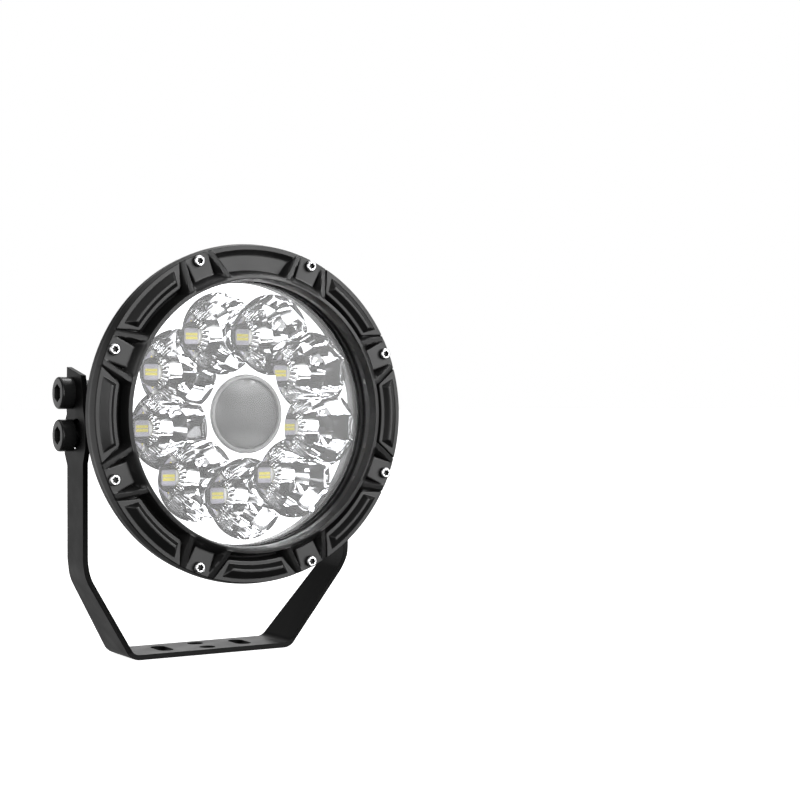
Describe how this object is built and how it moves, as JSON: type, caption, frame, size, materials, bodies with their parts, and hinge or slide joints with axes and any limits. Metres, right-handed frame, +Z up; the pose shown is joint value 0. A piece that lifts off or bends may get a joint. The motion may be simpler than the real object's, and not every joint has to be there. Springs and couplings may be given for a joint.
{
  "type": "fog light",
  "caption": "Round LED fog and driving light with a bolted black bezel and clear lens, tilting on a U bracket.",
  "frame": {"origin": "centre of the bracket foot's underside, where it is bolted down", "axes": "+Z up, the lamp shines along -Y, +X to the right of a viewer who faces the lens"},
  "size_m": [0.17, 0.0969, 0.2107],
  "materials": {
    "cast_black": "satin black powder coat on die-cast aluminium",
    "strap_black": "satin black powder coat on steel",
    "bolt_black": "black zinc",
    "stainless": "bright",
    "clear_glass": "clear, hardened",
    "smoked_glass": "smoky, domed",
    "metallised": "vacuum-metallised mirror",
    "silicone": "matt",
    "led_white": "ceramic",
    "phosphor": "yellow silicone",
    "board_white": "white solder mask",
    "board_green": "green solder mask",
    "gap_pad": "soft",
    "ferrite": "matt",
    "can": "bright",
    "black_plastic": "fine texture"
  },
  "bodies": {
    "bracket": {"bracket": "strap_black"},
    "lamp": {"front_bezel": "cast_black", "bezel_screws": "stainless", "lens_gasket": "silicone", "front_lens": "clear_glass", "lens_seal": "silicone", "reflector": "metallised", "centre_lens": "smoked_glass", "centre_lens_ring": "metallised", "led_packages": "led_white", "led_emitters": "phosphor", "position_led": "phosphor", "led_board": "board_white", "led_board_screws": "stainless", "thermal_pad": "gap_pad", "driver_board": "board_green", "driver_screws": "stainless", "driver_inductor": "ferrite", "driver_capacitors": "can", "driver_chips": "black_plastic", "board_header": "black_plastic", "supply_terminals": "black_plastic", "housing": "cast_black", "breather_vent": "black_plastic", "gland_body": "black_plastic", "gland_seal": "silicone", "gland_nut": "black_plastic", "pivot_bolts": "bolt_black", "lock_bolts": "bolt_black"}
  },
  "joints": [
    {"name": "tilt", "type": "hinge", "parent": "bracket", "child": "lamp", "pos_m": [0, -0.009, 0.13635], "axis": [-1, 0, 0], "range_deg": [-5, 26]}
  ]
}
